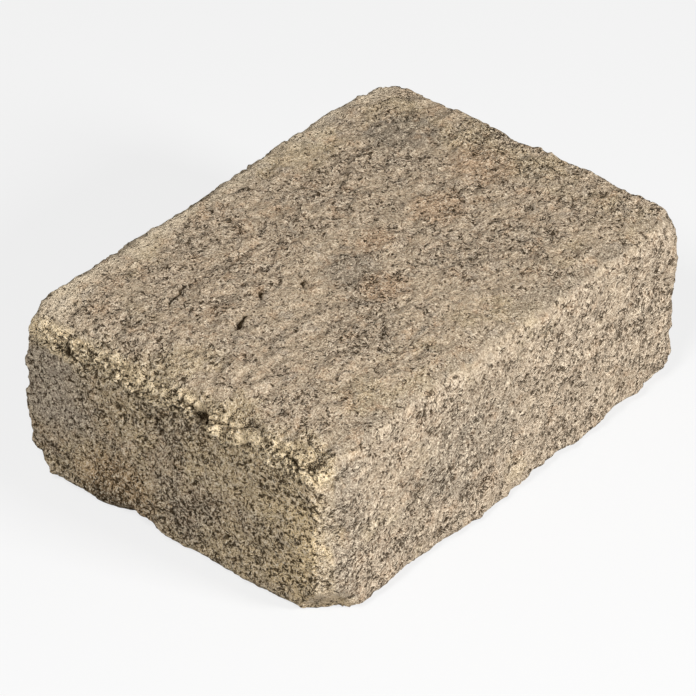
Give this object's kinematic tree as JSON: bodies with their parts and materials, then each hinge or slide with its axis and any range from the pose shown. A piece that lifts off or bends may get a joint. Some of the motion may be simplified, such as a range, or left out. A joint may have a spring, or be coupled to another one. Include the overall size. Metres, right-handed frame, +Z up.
{
  "type": "paving stone",
  "caption": "Tumbled concrete paving stone: an oblong block with flat walking and bed faces, worn round arrises and chipped corners, for laying paths, drives and edgings.",
  "frame": {"origin": "middle of the bed face, at the bottom of the block", "axes": "+X along the length, +Y across the width towards the back, +Z up through the thickness to the walking face"},
  "size_m": [0.215, 0.155, 0.08],
  "materials": {
    "concrete": "matt tumbled concrete, tan to grey-beige with open pits and specks of aggregate"
  },
  "bodies": {
    "root": {"paving_stone": "concrete"}
  },
  "joints": []
}
